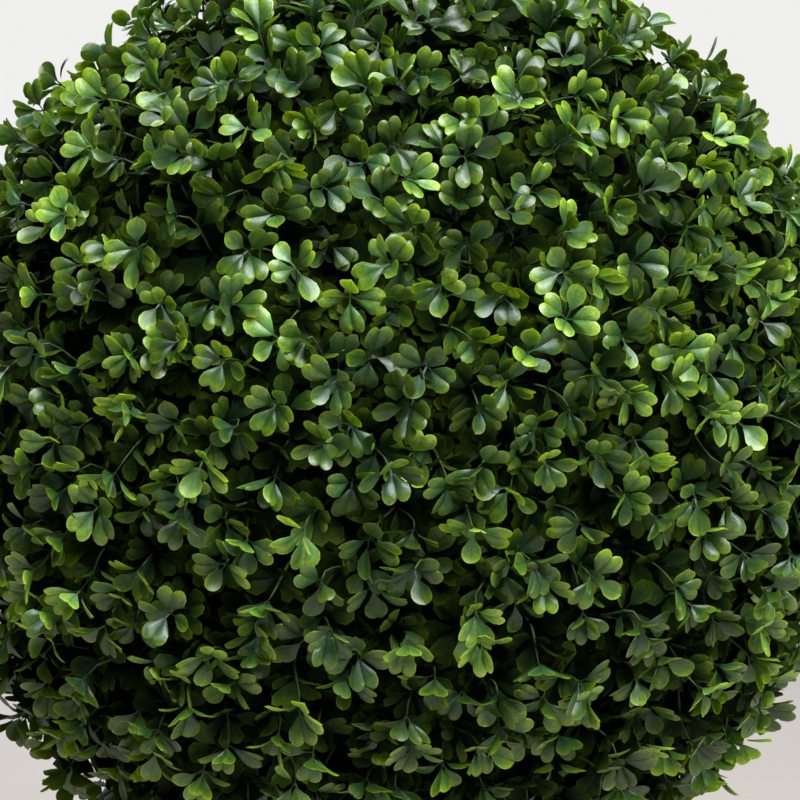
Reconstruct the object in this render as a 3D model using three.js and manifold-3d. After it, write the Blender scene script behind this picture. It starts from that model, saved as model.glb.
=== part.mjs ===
// Artificial box topiary ball standing in a plain round pot.
// Millimetres, +Z up. The origin is the centre of the pot's flat underside.

import * as THREE from 'three';
import { mergeVertices } from 'three/addons/utils/BufferGeometryUtils.js';
import Module from 'manifold-3d';

// Driving dimensions
const ballRadius = 240;        // clipped crown, to its outer leaf tips
const ballUnevenness = 4;      // how far the clipped surface swells and dips
const ballSeat = 8;            // how far the crown settles over the pot's lip

const potHeight = 250;
const potRimRadius = 150;      // outside, where the lip begins
const potBaseRadius = 104;     // outside, at the foot
const potWall = 12;
const potFloor = 14;
const footChamfer = 4;
const lipSteps = 8;

const fillingTop = 180;
const fillingCrown = 6;        // the filling is a little higher round the stem
const stemFootRadius = 19;     // slight flare where the stem leaves the filling
const stemRadius = 15;
const stemTipRadius = 11;
const flareHeight = 30;
const flareSteps = 4;

const gap = 0.3;               // between faces that touch
const roundSides = 56;
const stemSides = 20;
const ballDetail = 12;

// Derived dimensions
const mouthRadius = potRimRadius - potWall;
const lipRadius = potWall / 2; // the wall ends in a half-round lip
const lipCentreRadius = potRimRadius - lipRadius;
const lipFoot = potHeight - lipRadius;
const ballCentre = potHeight + Math.sqrt(ballRadius ** 2 - mouthRadius ** 2) - ballSeat;
const stemFoot = fillingTop + fillingCrown + gap;
const stemTip = ballCentre;

const group = new THREE.Group();
const wasm = await Module();
wasm.setup();

// Outer radius of the pot's wall at a height
function wallRadius(z) {
  return THREE.MathUtils.lerp(potBaseRadius, potRimRadius, z / lipFoot);
}

// Points of a quarter-round or half-round, in the plane of a lathe profile
function arc(centreR, centreZ, radius, fromDegrees, toDegrees, steps) {
  const points = [];
  for (let i = 0; i <= steps; i += 1) {
    const turn = THREE.MathUtils.degToRad(
      THREE.MathUtils.lerp(fromDegrees, toDegrees, i / steps));
    points.push([centreR + radius * Math.cos(turn), centreZ + radius * Math.sin(turn)]);
  }
  return points;
}

// Solid of revolution about Z; the profile runs [radius, height] from the foot's
// axis point, up the outside and back to the axis
function turned(profile, sides) {
  const points = profile.map(([r, z]) => new THREE.Vector2(Math.max(r, 0), z));
  const geometry = new THREE.LatheGeometry(points, sides);
  geometry.rotateX(Math.PI / 2);
  return closed(geometry);
}

// Merges shared corners so that the surface is one closed body
function closed(geometry) {
  geometry.deleteAttribute('normal');
  geometry.deleteAttribute('uv');
  return mergeVertices(geometry, 1e-4);
}

function toSolid(geometry) {
  return new wasm.Manifold(new wasm.Mesh({
    numProp: 3,
    vertProperties: new Float32Array(geometry.attributes.position.array),
    triVerts: new Uint32Array(geometry.index.array),
  }));
}

function toGeometry(solid) {
  const mesh = solid.getMesh();
  const geometry = new THREE.BufferGeometry();
  geometry.setAttribute('position', new THREE.BufferAttribute(mesh.vertProperties, 3));
  geometry.setIndex(new THREE.BufferAttribute(mesh.triVerts, 1));
  return geometry;
}

function addPart(name, geometry, colour, roughness) {
  geometry.computeVertexNormals();
  const material = new THREE.MeshStandardMaterial({ color: colour, roughness, metalness: 0 });
  const mesh = new THREE.Mesh(geometry, material);
  mesh.name = name;
  group.add(mesh);
}

// Pot: straight tapered wall with a rounded lip, closed flat floor
function potGeometry() {
  return turned([
    [0, 0],
    [potBaseRadius - footChamfer, 0],
    [wallRadius(footChamfer), footChamfer],
    ...arc(lipCentreRadius, lipFoot, lipRadius, 0, 180, lipSteps),
    [wallRadius(potFloor) - potWall, potFloor],
    [0, potFloor],
  ], roundSides);
}

// Filling: cast block that fits the inside of the pot and holds the stem
function fillingGeometry() {
  const foot = potFloor + gap;
  return turned([
    [0, foot],
    [wallRadius(foot) - potWall - 2 * gap, foot],
    [wallRadius(fillingTop) - potWall - 2 * gap, fillingTop],
    [stemFootRadius * 2, fillingTop + fillingCrown],
    [0, fillingTop + fillingCrown],
  ], roundSides);
}

// Radius of the stem at a height: an even taper, and a flare that dies out above the foot
function stemRadiusAt(z) {
  const taper = THREE.MathUtils.mapLinear(z, stemFoot, stemTip, stemRadius, stemTipRadius);
  const aboveFoot = Math.min((z - stemFoot) / flareHeight, 1);
  return taper + (stemFootRadius - stemRadius) * (1 - aboveFoot) ** 2;
}

// Stem: flared foot on the filling, tapering to its tip inside the crown
function stemGeometry(grow) {
  const profile = [[0, stemFoot - grow]];
  for (let i = 0; i <= flareSteps; i += 1) {
    const z = stemFoot + flareHeight * (i / flareSteps);
    profile.push([stemRadiusAt(z) + grow, i === 0 ? z - grow : z]);
  }
  profile.push([stemTipRadius + grow, stemTip + grow], [0, stemTip + grow]);
  return turned(profile, stemSides);
}

// How far the clipped surface stands from the true sphere in one direction
function clipError(x, y, z) {
  const broad = Math.sin(3.1 * x + 1.3) * Math.cos(2.7 * y - 0.4) + Math.sin(3.4 * z + 2.1 * x);
  const fine = Math.sin(9.3 * x - 4.1 * z + 0.7) * Math.sin(8.2 * y + 5.6 * z - 1.9);
  return ballUnevenness * (0.35 * broad + 0.3 * fine);
}

// Crown: one clipped ball, uneven by the clip error
function ballGeometry() {
  const geometry = closed(new THREE.IcosahedronGeometry(1, ballDetail));
  const position = geometry.attributes.position;
  const point = new THREE.Vector3();
  for (let i = 0; i < position.count; i += 1) {
    point.fromBufferAttribute(position, i).normalize();
    const reach = ballRadius + clipError(point.x, point.y, point.z);
    point.multiplyScalar(reach);
    position.setXYZ(i, point.x, point.y, point.z + ballCentre);
  }
  return geometry;
}

// Space that the pot takes out of the crown: its lip and the wall under it, grown by the gap
function lipClearance() {
  const grown = lipRadius + gap;
  const below = lipFoot - potWall;
  const foot = [wallRadius(below) - potWall - gap, below];
  return turned([
    foot,
    [wallRadius(below) + gap, below],
    ...arc(lipCentreRadius, lipFoot, grown, 0, 180, lipSteps),
    foot,
  ], roundSides);
}

addPart('pot', potGeometry(), 0xb9b3a8, 0.75);
addPart('pot_filling', fillingGeometry(), 0x6b655b, 0.95);
addPart('stem', stemGeometry(0), 0x5c4630, 0.85);

const crown = toSolid(ballGeometry())
  .subtract(toSolid(lipClearance()))
  .subtract(toSolid(stemGeometry(gap)));
addPart('foliage_ball', toGeometry(crown), 0x41602c, 0.5);

export default group;
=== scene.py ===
# Artificial box topiary ball in a plain pot: leaves, twigs, frame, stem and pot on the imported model
import math
import bmesh
import bpy
import numpy as np
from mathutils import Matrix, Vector


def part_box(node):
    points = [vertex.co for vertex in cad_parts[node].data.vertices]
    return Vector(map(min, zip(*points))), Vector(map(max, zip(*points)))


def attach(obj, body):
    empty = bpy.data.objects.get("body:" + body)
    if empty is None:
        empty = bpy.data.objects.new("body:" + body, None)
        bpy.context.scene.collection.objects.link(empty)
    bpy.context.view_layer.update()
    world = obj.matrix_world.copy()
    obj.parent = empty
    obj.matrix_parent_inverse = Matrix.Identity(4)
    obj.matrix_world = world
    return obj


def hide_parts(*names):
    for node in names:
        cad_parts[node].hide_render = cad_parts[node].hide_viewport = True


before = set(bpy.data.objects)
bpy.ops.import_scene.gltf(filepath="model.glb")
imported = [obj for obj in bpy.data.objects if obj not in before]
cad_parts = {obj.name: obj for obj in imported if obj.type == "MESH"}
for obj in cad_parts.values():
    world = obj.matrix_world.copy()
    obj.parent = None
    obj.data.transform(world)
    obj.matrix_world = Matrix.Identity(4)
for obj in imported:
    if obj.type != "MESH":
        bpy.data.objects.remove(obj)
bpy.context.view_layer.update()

mm = 0.001
upAxis = np.array([0.0, 0.0, 1.0])


# places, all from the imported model

def nodeBox(name):
    low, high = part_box(name)
    return np.array(low), np.array(high)


potHigh = nodeBox("pot")[1]
fillingLow, fillingHigh = nodeBox("pot_filling")
stemLow, stemHigh = nodeBox("stem")
ballLow, ballHigh = nodeBox("foliage_ball")
ballCentre = np.array([0.0, 0.0, stemHigh[2]])  # the stem ends at the middle of the ball
ballRadius = (ballHigh[0] - ballLow[0]) / 2
potTop = potHigh[2]
potRadius = potHigh[0]
print("frame loaded, ball radius", round(ballRadius, 4), "centre height", round(ballCentre[2], 4))


# small vector and mesh helpers

def unit(vectors):
    return vectors / np.linalg.norm(vectors, axis=-1, keepdims=True)


def sideOf(axes):
    # a unit vector square to each axis
    helper = np.where(np.abs(axes[..., 2:3]) < 0.9, upAxis, np.array([1.0, 0.0, 0.0]))
    return unit(np.cross(axes, helper))


def makeMesh(name, points, triangles, uv=None, sharpPoints=None):
    mesh = bpy.data.meshes.new(name)
    mesh.vertices.add(len(points))
    mesh.vertices.foreach_set("co", np.ascontiguousarray(points, dtype=np.float32).ravel())
    mesh.loops.add(len(triangles) * 3)
    mesh.loops.foreach_set("vertex_index", np.ascontiguousarray(triangles, dtype=np.int32).ravel())
    mesh.polygons.add(len(triangles))
    mesh.polygons.foreach_set("loop_start", np.arange(0, len(triangles) * 3, 3, dtype=np.int32))
    mesh.update(calc_edges=True)
    mesh.polygons.foreach_set("use_smooth", np.ones(len(triangles), dtype=bool))
    if uv is not None:
        layer = mesh.uv_layers.new(name="OFBake")
        layer.data.foreach_set("uv", np.ascontiguousarray(uv, dtype=np.float32).ravel())
    if sharpPoints is not None:
        edges = np.empty(len(mesh.edges) * 2, dtype=np.int32)
        mesh.edges.foreach_get("vertices", edges)
        edges = edges.reshape(-1, 2)
        crease = mesh.attributes.new("sharp_edge", "BOOLEAN", "EDGE")
        crease.data.foreach_set("value", sharpPoints[edges[:, 0]] & sharpPoints[edges[:, 1]])
    mesh.validate()
    piece = bpy.data.objects.new(name, mesh)
    bpy.context.scene.collection.objects.link(piece)
    return piece


def finishPiece(piece, material, slotName, *nodes):
    piece.data.materials.append(material)
    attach(piece, "root")
    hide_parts(*nodes)


def tubes(paths, radii, sides):
    # one closed tube for each path: paths (n, m, 3), radii (n, m)
    count, stations = radii.shape
    along = unit(np.gradient(paths, axis=1))
    mean = unit(along.mean(axis=1))
    across = unit(np.cross(along, sideOf(mean)[:, None, :]))
    rise = np.cross(along, across)
    turn = np.arange(sides) * 2 * math.pi / sides
    ring = (across[:, :, None, :] * np.cos(turn)[:, None]
            + rise[:, :, None, :] * np.sin(turn)[:, None])
    points = paths[:, :, None, :] + ring * radii[:, :, None, None]
    index = np.arange(stations * sides).reshape(stations, sides)
    low, high = index[:-1], index[1:]
    lowNext, highNext = np.roll(low, -1, axis=1), np.roll(high, -1, axis=1)
    walls = np.concatenate([
        np.stack([low, lowNext, highNext], -1).reshape(-1, 3),
        np.stack([low, highNext, high], -1).reshape(-1, 3)])
    fan = [[0, i + 1, i] for i in range(1, sides - 1)]
    last = (stations - 1) * sides
    capEnd = [[last, last + i, last + i + 1] for i in range(1, sides - 1)]
    one = np.concatenate([walls, np.array(fan), np.array(capEnd)])
    triangles = one[None] + (np.arange(count) * stations * sides)[:, None, None]
    return points.reshape(-1, 3), triangles.reshape(-1, 3)


def joinParts(parts):
    # parts are (points, triangles) pairs
    offset = 0
    allPoints, allTriangles = [], []
    for points, triangles in parts:
        allPoints.append(points)
        allTriangles.append(np.asarray(triangles) + offset)
        offset += len(points)
    return np.concatenate(allPoints), np.concatenate(allTriangles)


def turned(profile, sides, wobble=None):
    # closed solid of revolution; the profile starts and ends on the axis
    profile = np.array(profile)
    turn = np.arange(sides) * 2 * math.pi / sides
    body = profile[1:-1]
    radius = np.repeat(body[:, :1], sides, axis=1)
    height = np.repeat(body[:, 1:], sides, axis=1)
    if wobble is not None:
        radius = radius + wobble(np.broadcast_to(turn, radius.shape), height)
    rings = np.stack([radius * np.cos(turn), radius * np.sin(turn), height], -1)
    points = np.concatenate([
        rings.reshape(-1, 3), [[0, 0, profile[0][1]]], [[0, 0, profile[-1][1]]]])
    index = np.arange(len(body) * sides).reshape(len(body), sides)
    low, high = index[:-1], index[1:]
    lowNext, highNext = np.roll(low, -1, axis=1), np.roll(high, -1, axis=1)
    start, end = len(body) * sides, len(body) * sides + 1
    first, firstNext = index[0], np.roll(index[0], -1)
    final, finalNext = index[-1], np.roll(index[-1], -1)
    triangles = np.concatenate([
        np.stack([low, lowNext, highNext], -1).reshape(-1, 3),
        np.stack([low, highNext, high], -1).reshape(-1, 3),
        np.stack([np.full(sides, start), firstNext, first], -1),
        np.stack([np.full(sides, end), final, finalNext], -1)])
    return points, triangles


def arc(centreR, centreZ, radius, fromDegrees, toDegrees, steps):
    turn = np.radians(np.linspace(fromDegrees, toDegrees, steps + 1))
    return [[centreR + radius * math.cos(a), centreZ + radius * math.sin(a)] for a in turn]


# leaves: two moulded shapes, each a fan of rows from its stalk

leafLook = {
    "heart": {
        "length": 17.2 * mm, "width": 13.2 * mm, "stalk": 0.20, "notch": 0.865,
        "side": [(0.16, 0.31), (1.00, 0.48), (1.00, 0.73)],
        "end": [(1.00, 0.97), (0.46, 1.12)],
        "lobe": 1.25 * mm, "curl": 0.5 * mm, "cup": 0.0,
        "forms": [  # bend back, fold up along the crease, lean to one side
            {"bend": 0.62, "fold": 0.12, "skew": 0.06},
            {"bend": 0.36, "fold": 0.24, "skew": -0.07},
            {"bend": 0.90, "fold": 0.08, "skew": 0.02},
            {"bend": 0.50, "fold": 0.38, "skew": 0.09},
            {"bend": 0.12, "fold": 0.16, "skew": -0.03},
        ],
    },
    "spoon": {
        "length": 18.0 * mm, "width": 9.8 * mm, "stalk": 0.24, "notch": 1.0,
        "side": [(0.14, 0.40), (0.92, 0.44), (1.00, 0.70)],
        "end": [(1.00, 0.90), (0.52, 1.00)],
        "lobe": 0.0, "curl": 0.0, "cup": 1.9 * mm,
        "forms": [
            {"bend": 0.44, "fold": 0.04, "skew": -0.08},
            {"bend": 0.72, "fold": 0.02, "skew": 0.06},
            {"bend": 0.16, "fold": 0.06, "skew": 0.03},
        ],
    },
}
stalkHalfWidth = 0.42 * mm
stalkPattern = 0.14          # share of the pattern's height that the stalk takes
relief = {  # how a blade's lobes, cup and curl run over it
    "fade": 0.3,             # how fast they die out at the tip
    "lobeHeight": 1.25,
    "lobePower": 0.8,
    "cupPower": 2.2,
    "curlPower": 4,
    "tipLift": 0.6,          # of the cup
}
fineness = {  # rows along the blade, and columns on each half of a heart and of a spoon
    "fine": {"rows": [0, 0.22, 0.41, 0.54, 0.65, 0.75, 0.84, 0.92, 0.97],
             "heart": 3, "spoon": 2},
    "plain": {"rows": [0, 0.28, 0.52, 0.74, 0.90], "heart": 2, "spoon": 2},
    "coarse": {"rows": [0, 0.40, 0.66, 0.86], "heart": 1, "spoon": 1},
}


def bezier(p0, p1, p2, p3, t):
    return ((1 - t) ** 3 * p0 + 3 * (1 - t) ** 2 * t * p1
            + 3 * (1 - t) * t ** 2 * p2 + t ** 3 * p3)


def leafOutline(shape, s):
    # half outline of the blade from the end of the stalk, s = 0, to the notch or tip, s = 1
    scale = np.array([shape["width"] / 2, shape["length"]])
    start = np.array([stalkHalfWidth, shape["stalk"] * shape["length"]])
    side = [np.array(p) * scale for p in shape["side"]]
    end = [np.array(p) * scale for p in shape["end"]]
    tip = np.array([0.0, shape["notch"]]) * scale
    if s < 0.5:
        return bezier(start, side[0], side[1], side[2], s * 2)
    return bezier(side[2], end[0], end[1], tip, s * 2 - 1)


def leafTemplate(shape, form, rows, columns):
    # one leaf lying along +Y from its stalk's foot, with its place in the pattern
    length, stalk = shape["length"], shape["stalk"] * shape["length"]
    across = np.linspace(-1, 1, 2 * columns + 1)
    levels = [(0.0, None)] + [(stalkPattern + (1 - stalkPattern) * s, s) for s in rows]
    points, pattern = [], []
    for level, s in levels:
        if s is None:
            outline, rib, s = np.array([stalkHalfWidth, 0.0]), 0.0, 0.0
        else:
            outline = leafOutline(shape, s)
            rib = stalk + s * (shape["notch"] * length - stalk)
        for u in across:
            x = u * outline[0]
            y = rib + abs(u) * (outline[1] - rib)
            swell = math.sqrt(s) * (1 - s) ** relief["fade"]
            lobe = relief["lobeHeight"] * math.sin(math.pi * abs(u)) ** relief["lobePower"]
            cup = shape["cup"] * abs(u) ** relief["cupPower"]
            curl = shape["curl"] * abs(u) ** relief["curlPower"]
            z = form["fold"] * abs(x) + (shape["lobe"] * lobe + cup - curl) * swell
            points.append([x, y, z])
            pattern.append([(u + 1) / 2, level])
    points.append([0.0, shape["notch"] * length, 0.0])
    points = np.array(points)
    reach = points[:, 1] / length
    # the tip lifts, then the whole leaf bends back in an arc
    points[:, 2] += shape["cup"] * relief["tipLift"] * np.clip(reach, 0, 1) ** 3
    points[:, 2] -= form["bend"] / 2 * length * reach ** 2
    points[:, 1] -= form["bend"] ** 2 / 6 * length * reach ** 3
    points[:, 0] += form["skew"] * length * reach ** 2
    triangles, corners = [], []
    width = len(across)
    tip = len(points) - 1
    for row in range(len(levels)):
        for j in range(width - 1):
            a, b = row * width + j, row * width + j + 1
            if row == len(levels) - 1:
                mid = [(pattern[a][0] + pattern[b][0]) / 2, 1.0]
                triangles.append([a, b, tip])
                corners.append([pattern[a], pattern[b], mid])
                continue
            c, d = b + width, a + width
            if j < columns:
                split = [[a, b, c], [a, c, d]]
            else:
                split = [[a, b, d], [b, c, d]]
            triangles += split
            corners += [[pattern[k] for k in three] for three in split]
    rib = np.zeros(len(points), dtype=bool)
    rib[columns::width] = True
    rib[tip] = True
    if shape["lobe"] == 0:
        rib[:] = False  # only the hearts are creased
    return {"points": points, "triangles": np.array(triangles),
            "pattern": np.array(corners), "rib": rib}


leafForms = [(kind, i) for kind, shape in leafLook.items() for i in range(len(shape["forms"]))]
heartForms = [i for i, (kind, _) in enumerate(leafForms) if kind == "heart"]
spoonForms = [i for i, (kind, _) in enumerate(leafForms) if kind == "spoon"]
templates = {
    (i, grade): leafTemplate(leafLook[kind], leafLook[kind]["forms"][n],
                             look["rows"], look[kind])
    for i, (kind, n) in enumerate(leafForms) for grade, look in fineness.items()}
print("leaf shapes:", len(templates), "with up to",
      max(len(t["triangles"]) for t in templates.values()), "triangles")


# growth: sprigs plug into the ball's frame, fork once, and end in rosettes

growth = {
    "seed": 731,
    "frameRadius": 0.190,
    "frameSplits": 4,        # 642 sockets, one sprig in each
    "rosettes": 1200,        # outer rosettes over the whole ball
    "evenness": 0.34,        # how far a rosette strays, in parts of the spacing
    "tipDepth": 12.0 * mm,   # rosette centre under the clipped surface
    "tipScatter": 5.4 * mm,
    "scatterRange": (-15 * mm, 7 * mm),
    "droop": 0.54,           # the sprigs hang a little under their own weight
    "lowDroop": 0.36,        # and hang further, the lower they are
    "lowDroopStart": 0.15,   # height over the ball's middle, in radii
    "scatterLean": 0.24,
    "forkHeight": 13 * mm,
    "whorlStep": 14.0 * mm,
    "lengthRange": (0.85, 1.15),
    "socketPull": 1.2,       # how far a sprig's stem keeps to its socket's direction
    "forkCurve": 0.35,       # how far a side twig keeps its direction at each end
    "tipCurve": 0.42,
    "unevenness": 4 * mm,    # the clipped surface swells and dips, as the solid does
}
rng = np.random.default_rng(growth["seed"])


def clipError(d):
    # how far the clipped surface stands from the true sphere in direction d
    x, y, z = d[:, 0], d[:, 1], d[:, 2]
    broad = np.sin(3.1 * x + 1.3) * np.cos(2.7 * y - 0.4) + np.sin(3.4 * z + 2.1 * x)
    fine = np.sin(9.3 * x - 4.1 * z + 0.7) * np.sin(8.2 * y + 5.6 * z - 1.9)
    return growth["unevenness"] * (0.35 * broad + 0.3 * fine)


def evenDirections(count, stray):
    # golden-angle spread over the sphere, then each one strays a little
    k = np.arange(count) + 0.5
    z = 1 - 2 * k / count
    turn = k * math.pi * (3 - math.sqrt(5))
    ring = np.sqrt(1 - z * z)
    spread = np.stack([ring * np.cos(turn), ring * np.sin(turn), z], -1)
    spacing = math.sqrt(4 * math.pi / count)
    return unit(spread + rng.uniform(-1, 1, (count, 3)) * stray * spacing)


def frameSockets():
    # directions of the sockets, one at each corner of the frame
    mesh = bmesh.new()
    bmesh.ops.create_icosphere(mesh, subdivisions=growth["frameSplits"], radius=1.0)
    directions = np.array([v.co[:] for v in mesh.verts])
    mesh.free()
    return unit(directions)


def growSprigs():
    sockets = frameSockets()
    tips = evenDirections(growth["rosettes"], growth["evenness"])
    nearest = np.argmax(tips @ sockets.T, axis=1)
    order = np.argsort(nearest, kind="stable")
    tips, nearest = tips[order], nearest[order]
    count = len(tips)
    scatter = np.clip(rng.normal(0, growth["tipScatter"], count), *growth["scatterRange"])
    reach = ballRadius + clipError(tips) - growth["tipDepth"] + scatter
    tipPoint = ballCentre + tips * reach[:, None]
    lean = rng.normal(0, growth["scatterLean"], (count, 3))
    below = np.clip(growth["lowDroopStart"] - tips[:, 2:3], 0, 1)
    droop = growth["droop"] + growth["lowDroop"] * below
    tipAxis = unit(tips - upAxis * droop + lean)
    used = np.unique(nearest)
    meanDirection = np.zeros((len(sockets), 3))
    np.add.at(meanDirection, nearest, tips)
    stemDirection = unit(sockets[used] * growth["socketPull"] + unit(meanDirection[used]))
    root = ballCentre + sockets[used] * growth["frameRadius"]
    forkHeight = growth["forkHeight"] * rng.uniform(*growth["lengthRange"], len(used))
    fork = root + stemDirection * forkHeight[:, None]
    sprigOfTip = np.searchsorted(used, nearest)
    return {"root": root, "fork": fork, "stemDirection": stemDirection, "sprig": sprigOfTip,
            "tipPoint": tipPoint, "tipAxis": tipAxis}


sprigs = growSprigs()


def twigCurve(s):
    # points and directions along every side twig at s, 0 at the fork and 1 at the rosette
    start, end = sprigs["fork"][sprigs["sprig"]], sprigs["tipPoint"]
    length = np.linalg.norm(end - start, axis=1, keepdims=True)
    near = start + sprigs["stemDirection"][sprigs["sprig"]] * length * growth["forkCurve"]
    far = end - sprigs["tipAxis"] * length * growth["tipCurve"]
    s = np.asarray(s, dtype=float).reshape(-1, 1) if np.ndim(s) else s
    point = bezier(start, near, far, end, s)
    direction = (3 * (1 - s) ** 2 * (near - start) + 6 * (1 - s) * s * (far - near)
                 + 3 * s ** 2 * (end - far))
    return point, unit(direction), length[:, 0]


whorlLook = {
    # each leaf's tilt from the twig and its size, from the tip of the twig inwards;
    # nearest is how near the fork a whorl may come, in parts of the twig
    "tip": {"grade": "fine", "tilts": [0.84, 0.62, 0.84, 0.62],
            "sizes": [1.0, 0.97, 1.0, 0.97]},
    "middle": {"grade": "plain", "tilts": [0.95, 0.78, 0.95, 0.78], "sizes": [0.98] * 4,
               "nearest": 0.2},
    "back": {"grade": "coarse", "tilts": [0.95, 1.15] * 4, "sizes": [1.15] * 8,
             "nearest": 0.02},
}
leafSpread = {
    "oneSpoon": 0.6,         # share of whorls with one spoon; the others have two
    "turn": 0.13,
    "tilt": 0.24,
    "twist": 0.38,
    "sizes": (0.82, 1.08),
}


def whorl(centre, axis, roll, look):
    # leaves of one whorl on every twig: opposite pairs, each pair at its own tilt
    count, places = len(centre), len(look["tilts"])
    side = sideOf(axis)
    other = np.cross(axis, side)
    rows = []
    spoonAt = rng.integers(0, places, count)
    twoSpoons = rng.random(count) > leafSpread["oneSpoon"]
    for j, (tilt, size) in enumerate(zip(look["tilts"], look["sizes"])):
        turn = roll + j * 2 * math.pi / places + rng.normal(0, leafSpread["turn"], count)
        out = side * np.cos(turn)[:, None] + other * np.sin(turn)[:, None]
        spoon = (spoonAt == j) | (twoSpoons & ((spoonAt + places // 2) % places == j))
        form = np.where(spoon, rng.choice(spoonForms, count), rng.choice(heartForms, count))
        rows.append({
            "centre": centre, "axis": axis, "out": out, "form": form,
            "twig": np.arange(count),
            "tilt": tilt + rng.normal(0, leafSpread["tilt"], count),
            "twist": rng.normal(0, leafSpread["twist"], count),
            "size": size * rng.uniform(*leafSpread["sizes"], count),
            "grade": np.full(count, look["grade"])})
    return {key: np.concatenate([r[key] for r in rows]) for key in rows[0]}


def growLeaves():
    tipCentre, tipAxis, length = twigCurve(1.0)
    count = len(tipCentre)
    roll = rng.uniform(0, 2 * math.pi, count)
    groups = [whorl(tipCentre, tipAxis, roll, whorlLook["tip"])]
    step = growth["whorlStep"] * rng.uniform(*growth["lengthRange"], count) / length
    middle, back = whorlLook["middle"], whorlLook["back"]
    centre, axis, _ = twigCurve(np.clip(1 - step, middle["nearest"], 1))
    groups.append(whorl(centre, axis, roll + math.pi / 4, middle))
    centre, axis, _ = twigCurve(np.clip(1 - 2 * step, back["nearest"], 1))
    groups.append(whorl(centre, axis, roll, back))
    return {key: np.concatenate([g[key] for g in groups]) for key in groups[0]}


leaves = growLeaves()
print("sprigs:", len(sprigs["root"]), "rosettes:", len(sprigs["tipPoint"]),
      "leaves:", len(leaves["size"]))


# what the leaves must keep clear of

clearance = {
    "lipWidth": 12 * mm,     # the pot's lip, inside to outside
    "wallSlope": 0.189,      # how fast the pot's wall draws in below the lip
    "margin": 0.8 * mm,
    "mossHeight": 9 * mm,    # over the filling
    "stemShare": 0.85,       # of the stem's radius at its foot
    "probes": (0.0, 0.35, 0.7, 1.0),  # places along a leaf
}


def insideOthers(points):
    # True where a point is in or against the pot, the filling or the stem
    radius = np.hypot(points[..., 0], points[..., 1])
    height = points[..., 2]
    drawIn = np.maximum(potTop - height, 0) * clearance["wallSlope"]
    wallInside = potRadius - clearance["lipWidth"] - drawIn - clearance["margin"]
    inPot = (height < potTop + clearance["margin"]) & (radius > wallInside)
    inPot &= radius < potRadius + clearance["margin"]
    inFilling = (height < fillingHigh[2] + clearance["mossHeight"]) & (radius < potRadius)
    inStem = (radius < stemHigh[0] * clearance["stemShare"]) & (height < stemHigh[2])
    return inPot | inFilling | inStem


# leaf colours: one material for each tint and layer, dealt out by twig; the inner and heart layers
# are darker copies with painted shade

tints = {
    # base, body and tip of the blade, its rim highlight, and the share of twigs
    # the blue in the base and body colours is partly the plastic's teal tone, partly painted sheen
    "deep": {"base": (0.008, 0.025, 0.006), "body": (0.019, 0.053, 0.006),
             "tip": (0.069, 0.123, 0.004), "rimHighlight": (0.133, 0.207, 0.005), "share": 0.25},
    "bluish": {"base": (0.012, 0.038, 0.015), "body": (0.024, 0.075, 0.020),
               "tip": (0.088, 0.160, 0.009), "rimHighlight": (0.153, 0.253, 0.013), "share": 0.26},
    "mid": {"base": (0.012, 0.038, 0.007), "body": (0.032, 0.091, 0.012),
            "tip": (0.140, 0.240, 0.004), "rimHighlight": (0.240, 0.353, 0.007), "share": 0.23},
    "fresh": {"base": (0.020, 0.062, 0.010), "body": (0.056, 0.139, 0.024),
              "tip": (0.213, 0.349, 0.012), "rimHighlight": (0.313, 0.460, 0.013), "share": 0.18},
    "lime": {"base": (0.038, 0.110, 0.018), "body": (0.109, 0.245, 0.052),
             "tip": (0.313, 0.473, 0.040), "rimHighlight": (0.400, 0.560, 0.040), "share": 0.08},
}
tintSteps = {-1: 0.20, 0: 0.57, 1: 0.23}  # how often a leaf is darker, the same or lighter
leafLayers = {
    # which leaves a layer holds, its painted shade for lying deeper in the ball, its gloss, and the
    # light let through
    "outer": {"grade": "fine", "shade": 1.0, "specular": 0.78, "roughness": 0.37,
              "through": 0.36},
    "inner": {"grade": "plain", "shade": 0.26, "specular": 0.08, "roughness": 0.50,
              "through": 0.14},
    "heart": {"grade": "coarse", "shade": 0.10, "specular": 0.02, "roughness": 0.88,
              "through": 0.06},
}
leafFinish = {
    "throughTint": (1.60, 1.40, 0.08),
    "patternCells": 8,       # the leaf pattern lies in 8 by 8 slightly different cells
    "cellMargin": 0.04,
    "bodyRange": (0.10, 0.45),   # along the leaf, where the base colour gives way
    "tipRange": (0.50, 1.12),
    "tipAtEdges": 0.22,      # the tip colour comes further down the edges
    "patchiness": 0.35,
    # the rim colour is a painted highlight where light catches and comes through the leaf's thin edge
    "rimStart": 0.82,
    "rimStrength": 0.56,
    "rimRange": (0.25, 0.6),
    # the crease ramp is painted shade: the blade is drawn darker along its crease
    "crease": (0.02, 0.16, 0.72, 1.0),    # from, to, and how bright at each
    "mottle": (0.25, 0.75, 0.84, 1.16),
    "mottleScale": 5.0,      # per cell
    "valueSpread": 0.45,
    "speckle": 0.14,
    "speckleScale": 20.0,
    "grain": 0.45,           # fine moulded texture
    "grainDepth": 0.35 * mm,
}


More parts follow.
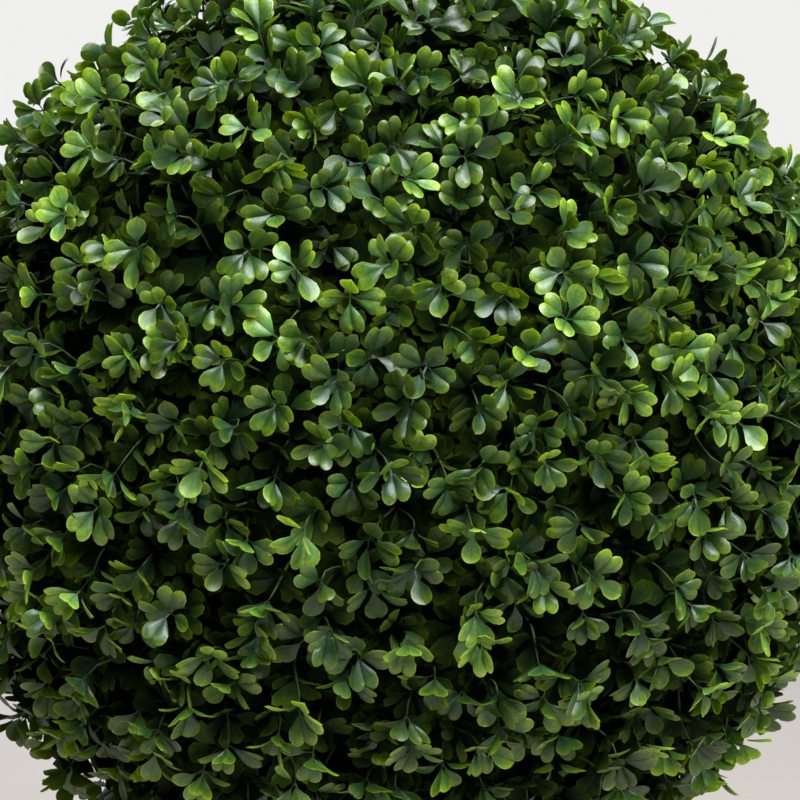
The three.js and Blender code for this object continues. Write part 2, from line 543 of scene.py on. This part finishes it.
class NodeSheet:
    # short names for building a node tree
    def __init__(self, name):
        self.material = bpy.data.materials.new(name)
        self.material.use_nodes = True
        self.tree = self.material.node_tree
        self.tree.nodes.clear()

    def add(self, kind, **values):
        node = self.tree.nodes.new(kind)
        for key, value in values.items():
            setattr(node, key, value)
        return node

    def link(self, source, target):
        self.tree.links.new(source, target)

    def math(self, operation, a, b=None):
        node = self.add("ShaderNodeMath", operation=operation)
        for socket, value in zip(node.inputs, (a, b)):
            if value is None:
                continue
            if isinstance(value, (int, float)):
                socket.default_value = value
            else:
                self.link(value, socket)
        return node.outputs[0]

    def ramp(self, value, low, high, outLow=0.0, outHigh=1.0):
        node = self.add("ShaderNodeMapRange", interpolation_type="SMOOTHSTEP")
        self.link(value, node.inputs["Value"])
        for key, number in (("From Min", low), ("From Max", high),
                            ("To Min", outLow), ("To Max", outHigh)):
            node.inputs[key].default_value = number
        return node.outputs["Result"]

    def mix(self, factor, a, b, blend="MIX"):
        node = self.add("ShaderNodeMix", data_type="RGBA", blend_type=blend)
        for socket, value in ((node.inputs[0], factor), (node.inputs[6], a), (node.inputs[7], b)):
            if isinstance(value, (int, float)):
                socket.default_value = value
            elif isinstance(value, tuple):
                socket.default_value = (*value, 1.0)
            else:
                self.link(value, socket)
        return node.outputs[2]

    def noise(self, vector, scale, detail=2.0, roughness=0.5):
        node = self.add("ShaderNodeTexNoise")
        self.link(vector, node.inputs["Vector"])
        node.inputs["Scale"].default_value = scale
        node.inputs["Detail"].default_value = detail
        node.inputs["Roughness"].default_value = roughness
        return node.outputs["Fac"]

    def bump(self, height, strength, distance):
        node = self.add("ShaderNodeBump")
        node.inputs["Strength"].default_value = strength
        node.inputs["Distance"].default_value = distance
        self.link(height, node.inputs["Height"])
        return node.outputs["Normal"]

    def surface(self, colour, roughness, normal=None, specular=0.5):
        shader = self.add("ShaderNodeBsdfPrincipled")
        for socket, value in ((shader.inputs["Base Color"], colour),
                              (shader.inputs["Roughness"], roughness)):
            if isinstance(value, (int, float)):
                socket.default_value = value
            elif isinstance(value, tuple):
                socket.default_value = (*value, 1.0)
            else:
                self.link(value, socket)
        shader.inputs["Specular IOR Level"].default_value = specular
        if normal is not None:
            self.link(normal, shader.inputs["Normal"])
        return shader

    def output(self, shader):
        self.link(shader, self.add("ShaderNodeOutputMaterial").inputs["Surface"])
        return self.material


def leafMaterial(name, tint, layer):
    sheet = NodeSheet(name)
    cells = leafFinish["patternCells"]
    uv = sheet.add("ShaderNodeUVMap", uv_map="OFBake").outputs["UV"]
    scaled = sheet.add("ShaderNodeVectorMath", operation="SCALE")
    scaled.inputs["Scale"].default_value = cells
    sheet.link(uv, scaled.inputs[0])
    inside = sheet.add("ShaderNodeVectorMath", operation="FRACTION")
    sheet.link(scaled.outputs["Vector"], inside.inputs[0])
    cell = sheet.add("ShaderNodeVectorMath", operation="FLOOR")
    sheet.link(scaled.outputs["Vector"], cell.inputs[0])
    chance = sheet.add("ShaderNodeTexWhiteNoise", noise_dimensions="2D")
    sheet.link(cell.outputs["Vector"], chance.inputs["Vector"])
    local = sheet.add("ShaderNodeSeparateXYZ")
    sheet.link(inside.outputs["Vector"], local.inputs[0])
    margin = leafFinish["cellMargin"]
    # across runs from the crease, 0, to the edge, 1; along from the stalk's foot to the tip
    across = sheet.math("ABSOLUTE", sheet.math("MULTIPLY", sheet.math(
        "SUBTRACT", local.outputs["X"], 0.5), 2 / (1 - 2 * margin)))
    along = sheet.math("DIVIDE", sheet.math("SUBTRACT", local.outputs["Y"], margin), 1 - 2 * margin)
    mottle = sheet.noise(uv, cells * leafFinish["mottleScale"], 3.0)
    body = sheet.mix(sheet.ramp(along, *leafFinish["bodyRange"]), tint["base"], tint["body"])
    outward = sheet.math("MULTIPLY", sheet.math("POWER", across, 2.0), leafFinish["tipAtEdges"])
    patchy = sheet.math("MULTIPLY", sheet.math("SUBTRACT", mottle, 0.5), leafFinish["patchiness"])
    tipward = sheet.math("ADD", sheet.math("ADD", along, patchy), outward)
    colour = sheet.mix(sheet.ramp(tipward, *leafFinish["tipRange"]), body, tint["tip"])
    # painted highlight along the leaf's edge
    rimHighlight = sheet.ramp(across, leafFinish["rimStart"], 1.0, 0.0, leafFinish["rimStrength"])
    rimHighlight = sheet.math("MULTIPLY", rimHighlight, sheet.ramp(along, *leafFinish["rimRange"]))
    colour = sheet.mix(rimHighlight, colour, tint["rimHighlight"])
    # painted shade along the crease
    crease = sheet.ramp(across, *leafFinish["crease"])
    # every cell of the pattern has its own brightness, times the layer's painted shade
    spread = leafFinish["valueSpread"] * layer["shade"]
    lowest = (1 - leafFinish["valueSpread"] / 2) * layer["shade"]
    value = sheet.math("ADD", sheet.math("MULTIPLY", chance.outputs["Value"], spread), lowest)
    value = sheet.math("MULTIPLY", value, crease)
    value = sheet.math("MULTIPLY", value, sheet.ramp(mottle, *leafFinish["mottle"]))
    fine = sheet.noise(uv, cells * leafFinish["speckleScale"], 2.0)
    speckle = leafFinish["speckle"]
    value = sheet.math("MULTIPLY", value, sheet.ramp(fine, 0.3, 0.7, 1 - speckle, 1 + speckle))
    shade = sheet.add("ShaderNodeVectorMath", operation="SCALE")
    sheet.link(colour, shade.inputs[0])
    sheet.link(value, shade.inputs["Scale"])
    grain = sheet.bump(fine, leafFinish["grain"], leafFinish["grainDepth"])
    shader = sheet.surface(shade.outputs["Vector"], layer["roughness"], grain,
                           layer["specular"])
    glow = sheet.add("ShaderNodeBsdfTranslucent")
    warm = sheet.mix(1.0, shade.outputs["Vector"], leafFinish["throughTint"], "MULTIPLY")
    sheet.link(warm, glow.inputs["Color"])
    both = sheet.add("ShaderNodeMixShader")
    both.inputs["Fac"].default_value = layer["through"]
    sheet.link(shader.outputs[0], both.inputs[1])
    sheet.link(glow.outputs[0], both.inputs[2])
    return sheet.output(both.outputs[0])


def leafGeometry(chosen):
    # world points, triangles, pattern places and crease flags of the chosen leaves
    points, triangles, patterns, ribs = [], [], [], []
    offset = 0
    cells = leafFinish["patternCells"]
    margin = leafFinish["cellMargin"]
    for (form, grade), template in templates.items():
        rows = chosen[(leaves["form"][chosen] == form) & (leaves["grade"][chosen] == grade)]
        if not len(rows):
            continue
        axis, out = leaves["axis"][rows], leaves["out"][rows]
        tilt, twist = leaves["tilt"][rows][:, None], leaves["twist"][rows][:, None]
        along = np.cos(tilt) * axis + np.sin(tilt) * out
        across = np.cross(out, axis)
        rise = np.cross(across, along)
        across, rise = (np.cos(twist) * across + np.sin(twist) * rise,
                        np.cos(twist) * rise - np.sin(twist) * across)
        local = template["points"][None] * leaves["size"][rows][:, None, None]
        world = (leaves["centre"][rows][:, None, :]
                 + local[..., 0:1] * across[:, None, :]
                 + local[..., 1:2] * along[:, None, :]
                 + local[..., 2:3] * rise[:, None, :])
        cell = leaves["cell"][rows]
        corner = np.stack([cell % cells, cell // cells], -1)
        pattern = corner[:, None, None, :] + margin + (1 - 2 * margin) * template["pattern"][None]
        size = len(template["points"])
        shift = offset + np.arange(len(rows)) * size
        points.append(world.reshape(-1, 3))
        triangles.append((template["triangles"][None] + shift[:, None, None]).reshape(-1, 3))
        patterns.append(pattern.reshape(-1, 2) / cells)
        ribs.append(np.tile(template["rib"], len(rows)))
        offset += len(rows) * size
    return (np.concatenate(points), np.concatenate(triangles),
            np.concatenate(patterns), np.concatenate(ribs))


def dealTints():
    # each twig has its own tint; now and then one of its leaves is a step darker or lighter
    shares = np.array([tint["share"] for tint in tints.values()])
    byTwig = rng.choice(len(tints), len(sprigs["tipPoint"]), p=shares / shares.sum())
    step = rng.choice(list(tintSteps), len(leaves["size"]), p=list(tintSteps.values()))
    return np.clip(byTwig[leaves["twig"]] + step, 0, len(tints) - 1)


def dropBuriedLeaves():
    # leaves whose middle would enter the pot, filling or stem are left off
    keep = np.ones(len(leaves["size"]), dtype=bool)
    along = (np.cos(leaves["tilt"])[:, None] * leaves["axis"]
             + np.sin(leaves["tilt"])[:, None] * leaves["out"])
    for reach in clearance["probes"]:
        probe = leaves["centre"] + along * (reach * leafLook["spoon"]["length"])
        keep &= ~insideOthers(probe)
    return {key: value[keep] for key, value in leaves.items()}


leaves = dropBuriedLeaves()
leaves["tint"] = dealTints()
leaves["cell"] = rng.integers(0, leafFinish["patternCells"] ** 2, len(leaves["size"]))
leafTotal = 0
for tintIndex, (tintName, tint) in enumerate(tints.items()):
    for layerName, layer in leafLayers.items():
        chosen = np.flatnonzero((leaves["tint"] == tintIndex) & (leaves["grade"] == layer["grade"]))
        points, triangles, pattern, rib = leafGeometry(chosen)
        piece = makeMesh(f"leaves_{tintName}_{layerName}", points, triangles, pattern, rib)
        material = leafMaterial(f"leaf_{tintName}_{layerName}", tint, layer)
        finishPiece(piece, material, "leaves", "foliage_ball")
        leafTotal += len(triangles)
        print(piece.name, len(chosen), "leaves,", len(triangles), "triangles")
print("leaf triangles:", leafTotal)


# twigs: a short stem from each socket to its fork, and one side twig to each rosette

twigLook = {
    "stations": 6,
    "sides": 4,
    "forkRadius": 0.75 * mm,
    "tipRadius": 0.45 * mm,
    "endTaper": 0.6,
    "stemSides": 5,
    "stemStations": [0.0, 0.1, 0.16, 0.6, 1.02],  # a plug in the socket, then the stem
    "socketRadius": 2.2 * mm,
    "stemRadius": 1.0 * mm,
    "dark": (0.020, 0.032, 0.008),
    "light": (0.060, 0.090, 0.018),
    "patchScale": 60.0,
    "roughness": 0.5,
    "specular": 0.2,
}


def twigMaterial():
    sheet = NodeSheet("twig_plastic")
    place = sheet.add("ShaderNodeTexCoord").outputs["Object"]
    patch = sheet.noise(place, twigLook["patchScale"], 2.0)
    colour = sheet.mix(sheet.ramp(patch, 0.35, 0.65), twigLook["dark"], twigLook["light"])
    shader = sheet.surface(colour, twigLook["roughness"], specular=twigLook["specular"])
    return sheet.output(shader.outputs[0])


def makeTwigs():
    steps = np.linspace(0, 1, twigLook["stations"])
    paths = np.stack([twigCurve(float(s))[0] for s in steps], axis=1)
    keep = ~insideOthers(paths).any(axis=1)
    taper = np.linspace(twigLook["forkRadius"], twigLook["tipRadius"], len(steps))
    taper[-1] *= twigLook["endTaper"]
    side = tubes(paths[keep], np.tile(taper, (int(keep.sum()), 1)), twigLook["sides"])
    stations = np.array(twigLook["stemStations"])
    root, fork = sprigs["root"], sprigs["fork"]
    mainPaths = root[:, None, :] + (fork - root)[:, None, :] * stations[None, :, None]
    mainKeep = ~insideOthers(mainPaths).any(axis=1)
    socket, stem = twigLook["socketRadius"], twigLook["stemRadius"]
    radii = [socket, socket * 0.9, stem * 1.1, stem, twigLook["forkRadius"]]
    main = tubes(mainPaths[mainKeep], np.tile(radii, (int(mainKeep.sum()), 1)),
                 twigLook["stemSides"])
    points, triangles = joinParts([side, main])
    piece = makeMesh("twigs", points, triangles)
    finishPiece(piece, twigMaterial(), "twigs", "foliage_ball")
    print("twig triangles:", len(triangles))


makeTwigs()


# the ball's moulded frame: a ribbed hollow ball that the sprigs plug into

frameLook = {
    "ribWidth": 4.0 * mm,
    "panelDepth": 1.5 * mm,
    # the frame is a real part, but its near-black colours are painted shade for the deep inside of
    # the ball
    "dark": (0.004, 0.006, 0.003),
    "light": (0.006, 0.009, 0.0045),
    "patchScale": 25.0,
    "grainScale": 900.0,
    "grainDepth": 0.2 * mm,
    "roughness": 0.9,
    "specular": 0.05,
}


def frameMaterial():
    sheet = NodeSheet("frame_plastic")
    place = sheet.add("ShaderNodeTexCoord").outputs["Object"]
    patch = sheet.noise(place, frameLook["patchScale"], 3.0)
    colour = sheet.mix(sheet.ramp(patch, 0.3, 0.7), frameLook["dark"], frameLook["light"])
    grain = sheet.noise(place, frameLook["grainScale"], 2.0)
    normal = sheet.bump(grain, 0.2, frameLook["grainDepth"])
    shader = sheet.surface(colour, frameLook["roughness"], normal, frameLook["specular"])
    return sheet.output(shader.outputs[0])


def makeFrame():
    mesh = bmesh.new()
    bmesh.ops.create_icosphere(
        mesh, subdivisions=growth["frameSplits"], radius=growth["frameRadius"])
    bmesh.ops.translate(mesh, verts=mesh.verts, vec=Vector(ballCentre))
    bmesh.ops.inset_individual(mesh, faces=list(mesh.faces), thickness=frameLook["ribWidth"],
                               depth=-frameLook["panelDepth"])
    bmesh.ops.triangulate(mesh, faces=mesh.faces)
    data = bpy.data.meshes.new("inner_frame")
    mesh.to_mesh(data)
    mesh.free()
    piece = bpy.data.objects.new("inner_frame", data)
    bpy.context.scene.collection.objects.link(piece)
    finishPiece(piece, frameMaterial(), "twigs", "foliage_ball")
    print("frame triangles:", len(data.polygons))


makeFrame()


# stem with bark relief

stemLook = {
    "sides": 72,
    "rows": 90,
    "taper": 0.21,           # of the foot's radius, from foot to tip
    "flare": 0.21,           # how much of the foot's radius is its flare
    "flareHeight": 30 * mm,
    "furrowDepth": 0.9 * mm,
    "dark": (0.035, 0.022, 0.012),
    "light": (0.130, 0.088, 0.052),
    "grainScale": 320.0,
    "grainStretch": 0.25,    # the grain runs along the stem
    "grainDepth": 0.8 * mm,
    "roughness": 0.85,
    "specular": 0.3,
}


def barkFurrows(turn, height):
    # long wandering furrows with small ripples between them
    wave = np.sin(9 * turn + 3.0 * np.sin(height * 46) + 1.2 * np.sin(height * 113))
    ripple = np.sin(17 * turn - 2.2 * np.sin(height * 71 + 1.0)) * np.sin(height * 190 + 2 * turn)
    return stemLook["furrowDepth"] * (0.6 * np.abs(wave) ** 0.7 + 0.3 * ripple - 0.5)


def barkMaterial():
    sheet = NodeSheet("stem_bark")
    place = sheet.add("ShaderNodeTexCoord").outputs["Object"]
    stretch = sheet.add("ShaderNodeVectorMath", operation="MULTIPLY")
    stretch.inputs[1].default_value = (1.0, 1.0, stemLook["grainStretch"])
    sheet.link(place, stretch.inputs[0])
    grain = sheet.noise(stretch.outputs["Vector"], stemLook["grainScale"], 6.0, 0.65)
    colour = sheet.mix(sheet.ramp(grain, 0.3, 0.7), stemLook["dark"], stemLook["light"])
    normal = sheet.bump(grain, 0.7, stemLook["grainDepth"])
    shader = sheet.surface(colour, stemLook["roughness"], normal, stemLook["specular"])
    return sheet.output(shader.outputs[0])


def makeStem():
    foot, tip = stemLow[2], stemHigh[2]
    footRadius = stemHigh[0] - stemLook["furrowDepth"]
    profile = [[0, foot]]
    for t in np.linspace(0, 1, stemLook["rows"]):
        flare = max(0.0, 1 - t * (tip - foot) / stemLook["flareHeight"]) ** 2
        radius = footRadius * (1 - stemLook["flare"] - stemLook["taper"] * t
                               + stemLook["flare"] * flare)
        profile.append([radius, foot + t * (tip - foot)])
    profile.append([0, tip])
    points, triangles = turned(profile, stemLook["sides"], barkFurrows)
    piece = makeMesh("stem_bark", points, triangles)
    finishPiece(piece, barkMaterial(), "stem", "stem")
    print("stem triangles:", len(triangles))


makeStem()


# pot: one closed turned body of cast clay

potLook = {
    "sides": 144,
    "floor": 14 * mm,
    "wall": 12 * mm,
    "footRound": 4 * mm,
    "footRadius": 104 * mm,
    "innerRound": 5 * mm,
    "wallRows": 24,
    "innerRows": 10,
    "lipSteps": 16,
    "handmade": 0.35 * mm,   # slow unevenness of the cast wall
    "handmadeStart": 10 * mm,
    "pale": (0.560, 0.530, 0.480),
    "shadow": (0.400, 0.372, 0.330),
    "speck": (0.200, 0.180, 0.155),
    "cloudScale": 9.0,
    "grainScale": 620.0,
    "speckScale": 190.0,
    "grainDepth": 0.35 * mm,
    "roughness": (0.82, 0.68),
    "specular": 0.35,
}


def potWallAt(z):
    # outer radius of the wall at a height
    lipFoot = potTop - potLook["wall"] / 2
    return potLook["footRadius"] + (potRadius - potLook["footRadius"]) * z / lipFoot


def potProfile():
    wall, floor = potLook["wall"], potLook["floor"]
    footRound, innerRound = potLook["footRound"], potLook["innerRound"]
    foot = potLook["footRadius"]
    lip = wall / 2
    lipStart = potTop - lip - 6 * mm
    profile = [[0, 0], [foot * 0.5, 0], [foot - footRound - 6 * mm, 0]]
    profile += arc(potWallAt(footRound) - footRound, footRound, footRound, -90, 0, 6)
    for z in np.linspace(footRound + 8 * mm, lipStart, potLook["wallRows"]):
        profile.append([potWallAt(z), z])
    profile += arc(potRadius - lip, potTop - lip, lip, 0, 180, potLook["lipSteps"])
    for z in np.linspace(lipStart, floor + innerRound + 2 * mm, potLook["innerRows"]):
        profile.append([potWallAt(z) - wall, z])
    inner = potWallAt(floor) - wall
    profile += arc(inner - innerRound, floor + innerRound, innerRound, 0, -90, 4)
    profile += [[inner * 0.5, floor], [0, floor]]
    return profile


def handmadeWall(turn, height):
    slow = (np.sin(2 * turn + 14 * height) + 0.6 * np.sin(5 * turn - 31 * height + 1.0)
            + 0.4 * np.sin(9 * turn + 60 * height))
    return potLook["handmade"] * 0.5 * slow * np.clip(height / potLook["handmadeStart"], 0, 1)


def potMaterial():
    sheet = NodeSheet("pot_clay")
    place = sheet.add("ShaderNodeTexCoord").outputs["Object"]
    cloud = sheet.noise(place, potLook["cloudScale"], 5.0, 0.6)
    colour = sheet.mix(sheet.ramp(cloud, 0.35, 0.70), potLook["shadow"], potLook["pale"])
    grain = sheet.noise(place, potLook["grainScale"], 3.0, 0.6)
    colour = sheet.mix(sheet.ramp(grain, 0.30, 0.52, 0.45, 0.0), colour, potLook["shadow"])
    specks = sheet.add("ShaderNodeTexVoronoi", feature="F1")
    specks.inputs["Scale"].default_value = potLook["speckScale"]
    sheet.link(place, specks.inputs["Vector"])
    speckMask = sheet.ramp(specks.outputs["Distance"], 0.10, 0.20, 0.55, 0.0)
    colour = sheet.mix(speckMask, colour, potLook["speck"])
    pits = sheet.ramp(specks.outputs["Distance"], 0.08, 0.22)
    height = sheet.math("ADD", grain, sheet.math("MULTIPLY", pits, 0.8))
    normal = sheet.bump(height, 0.45, potLook["grainDepth"])
    roughness = sheet.ramp(cloud, 0.3, 0.7, *potLook["roughness"])
    return sheet.output(sheet.surface(colour, roughness, normal, potLook["specular"]).outputs[0])


def makePot():
    points, triangles = turned(potProfile(), potLook["sides"], handmadeWall)
    piece = makeMesh("pot_clay", points, triangles)
    finishPiece(piece, potMaterial(), "pot", "pot")
    print("pot triangles:", len(triangles))


makePot()


# filling: cast block under a layer of dry moss

fillingLook = {
    "sides": 160,
    "rings": 60,
    "mossHeight": 6 * mm,
    "mossFoot": 4 * mm,      # the moss begins this far under the filling's top
    "edgeHeight": 8 * mm,
    "wallGap": 0.4 * mm,
    "stemGap": 0.6 * mm,
    "cast": (0.30, 0.28, 0.25),
    "dark": (0.030, 0.036, 0.012),
    "light": (0.110, 0.118, 0.040),
    "tuftScale": 260.0,
    "fibreScale": 1500.0,
    "fibreDepth": 1.2 * mm,
    "roughness": 0.95,
    "specular": 0.2,
}


def mossHeightAt(x, y):
    # broad tufts with fine fuzz on them
    tuft = np.sin(x * 310 + 2.1 * np.sin(y * 190)) * np.sin(y * 290 + 1.7 * np.sin(x * 230))
    fuzz = np.sin(x * 980 + 1.3) * np.sin(y * 1040 - 0.7) + np.sin((x + y) * 1490)
    return fillingLook["mossHeight"] * (0.5 + 0.36 * tuft + 0.09 * fuzz)


def mossMaterial():
    sheet = NodeSheet("filling_moss")
    place = sheet.add("ShaderNodeTexCoord").outputs["Object"]
    tuft = sheet.noise(place, fillingLook["tuftScale"], 5.0, 0.7)
    fibre = sheet.noise(place, fillingLook["fibreScale"], 3.0, 0.7)
    colour = sheet.mix(sheet.ramp(tuft, 0.35, 0.65), fillingLook["dark"], fillingLook["light"])
    colour = sheet.mix(sheet.ramp(fibre, 0.45, 0.75, 0.0, 0.5), colour, fillingLook["cast"])
    normal = sheet.bump(fibre, 0.9, fillingLook["fibreDepth"])
    shader = sheet.surface(colour, fillingLook["roughness"], normal, fillingLook["specular"])
    return sheet.output(shader.outputs[0])


def makeFilling():
    bottom, top = fillingLow[2], fillingHigh[2]
    outer = fillingHigh[0] - fillingLook["wallGap"]
    inner = stemHigh[0] + fillingLook["stemGap"]
    base = potLook["footRadius"] - potLook["wall"] - 1 * mm
    edgeTop = top - fillingLook["edgeHeight"]
    mossFoot = top - fillingLook["mossFoot"]
    profile = [[0, bottom], [base, bottom]]
    profile += [[base + (outer - base) * t, bottom + (edgeTop - bottom) * t]
                for t in np.linspace(0.1, 1, 8)]
    edge = len(profile)
    profile += [[r, mossFoot] for r in np.linspace(outer, inner, fillingLook["rings"])]
    profile += [[inner - 0.4 * mm, mossFoot - 2 * mm], [0, mossFoot - 2 * mm]]
    points, triangles = turned(profile, fillingLook["sides"])
    rings = points[:-2].reshape(-1, fillingLook["sides"], 3)
    mossy = rings[edge - 1:edge - 1 + fillingLook["rings"]]
    mossy[..., 2] += mossHeightAt(mossy[..., 0], mossy[..., 1])
    points[:-2] = rings.reshape(-1, 3)
    piece = makeMesh("filling_moss", points, triangles)
    finishPiece(piece, mossMaterial(), "pot_filling", "pot_filling")
    print("filling triangles:", len(triangles))


makeFilling()


# floor, light and camera

stageLook = {
    "floorRadius": 1.8,
    "floorGap": 0.3 * mm,    # under the pot
    "floorColour": (0.40, 0.36, 0.305),
    "floorDarker": (0.384, 0.3456, 0.2928),
    "floorRoughness": 0.8,
    "backdrop": (0.87, 0.87, 0.86),
    "backdropSeen": 1.0,
    "backdropLight": 0.012,
    "lampColour": (0.96, 1.0, 1.10),
    "topLight": {"size": 1.6, "power": 126.0, "place": (0.30, -1.10, 2.40)},
    "rightLight": {"size": 1.1, "power": 95.0, "place": (1.50, -1.85, 2.05)},
    "backLight": {"size": 1.2, "power": 48.0, "place": (-0.9, 2.2, 1.9)},
}


def makeFloor():
    bpy.ops.mesh.primitive_circle_add(vertices=128, radius=stageLook["floorRadius"],
                                      fill_type="NGON", location=(0, 0, -stageLook["floorGap"]))
    floor = bpy.context.object
    floor.name = "floor"
    sheet = NodeSheet("floor_pale")
    place = sheet.add("ShaderNodeTexCoord").outputs["Object"]
    cloud = sheet.noise(place, 3.0, 3.0)
    colour = sheet.mix(sheet.ramp(cloud, 0.3, 0.7), stageLook["floorDarker"],
                       stageLook["floorColour"])
    shader = sheet.surface(colour, stageLook["floorRoughness"])
    floor.data.materials.append(sheet.output(shader.outputs[0]))


def makeWorld():
    world = bpy.data.worlds.new("studio")
    bpy.context.scene.world = world
    world.use_nodes = True
    nodes, links = world.node_tree.nodes, world.node_tree.links
    nodes.clear()
    seen = nodes.new("ShaderNodeBackground")
    light = nodes.new("ShaderNodeBackground")
    seen.inputs["Color"].default_value = (*stageLook["backdrop"], 1)
    light.inputs["Color"].default_value = (*stageLook["backdrop"], 1)
    seen.inputs["Strength"].default_value = stageLook["backdropSeen"]
    light.inputs["Strength"].default_value = stageLook["backdropLight"]
    path = nodes.new("ShaderNodeLightPath")
    both = nodes.new("ShaderNodeMixShader")
    links.new(path.outputs["Is Camera Ray"], both.inputs["Fac"])
    links.new(light.outputs[0], both.inputs[1])
    links.new(seen.outputs[0], both.inputs[2])
    links.new(both.outputs[0], nodes.new("ShaderNodeOutputWorld").inputs["Surface"])


def makeLight(name):
    look = stageLook[name]
    lamp = bpy.data.lights.new(name, "AREA")
    lamp.shape = "SQUARE"
    lamp.size = look["size"]
    lamp.energy = look["power"]
    lamp.color = stageLook["lampColour"]
    lampObject = bpy.data.objects.new(name, lamp)
    bpy.context.scene.collection.objects.link(lampObject)
    lampObject.location = look["place"]
    aim = Vector(ballCentre) - Vector(look["place"])
    lampObject.rotation_euler = aim.to_track_quat("-Z", "Y").to_euler()
    lampObject.visible_camera = False


cameraLook = {
    "elevation": 10.0,
    "distance": 8.0,         # in ball radii, from the ball's centre
    "lens": 174.0,
    "shiftRight": 0.00625,   # in parts of the picture's width, which moves the ball left
    "shiftUp": 0.03125,      # and down
}


def makeCamera():
    camera = bpy.data.cameras.new("camera")
    camera.lens = cameraLook["lens"]
    camera.sensor_width = 36.0
    camera.clip_end = 100.0
    cameraObject = bpy.data.objects.new("camera", camera)
    bpy.context.scene.collection.objects.link(cameraObject)
    distance = cameraLook["distance"] * ballRadius
    rise = math.radians(cameraLook["elevation"])
    back = Vector((0, -math.cos(rise), math.sin(rise)))
    cameraObject.location = Vector(ballCentre) + back * distance
    cameraObject.rotation_euler = (-back).to_track_quat("-Z", "Y").to_euler()
    camera.shift_x = cameraLook["shiftRight"]
    camera.shift_y = cameraLook["shiftUp"]
    bpy.context.scene.camera = cameraObject


makeFloor()
makeWorld()
for lightName in ("topLight", "rightLight", "backLight"):
    makeLight(lightName)
makeCamera()
bpy.context.scene.view_settings.view_transform = "Standard"
print("stage, light and camera are set")
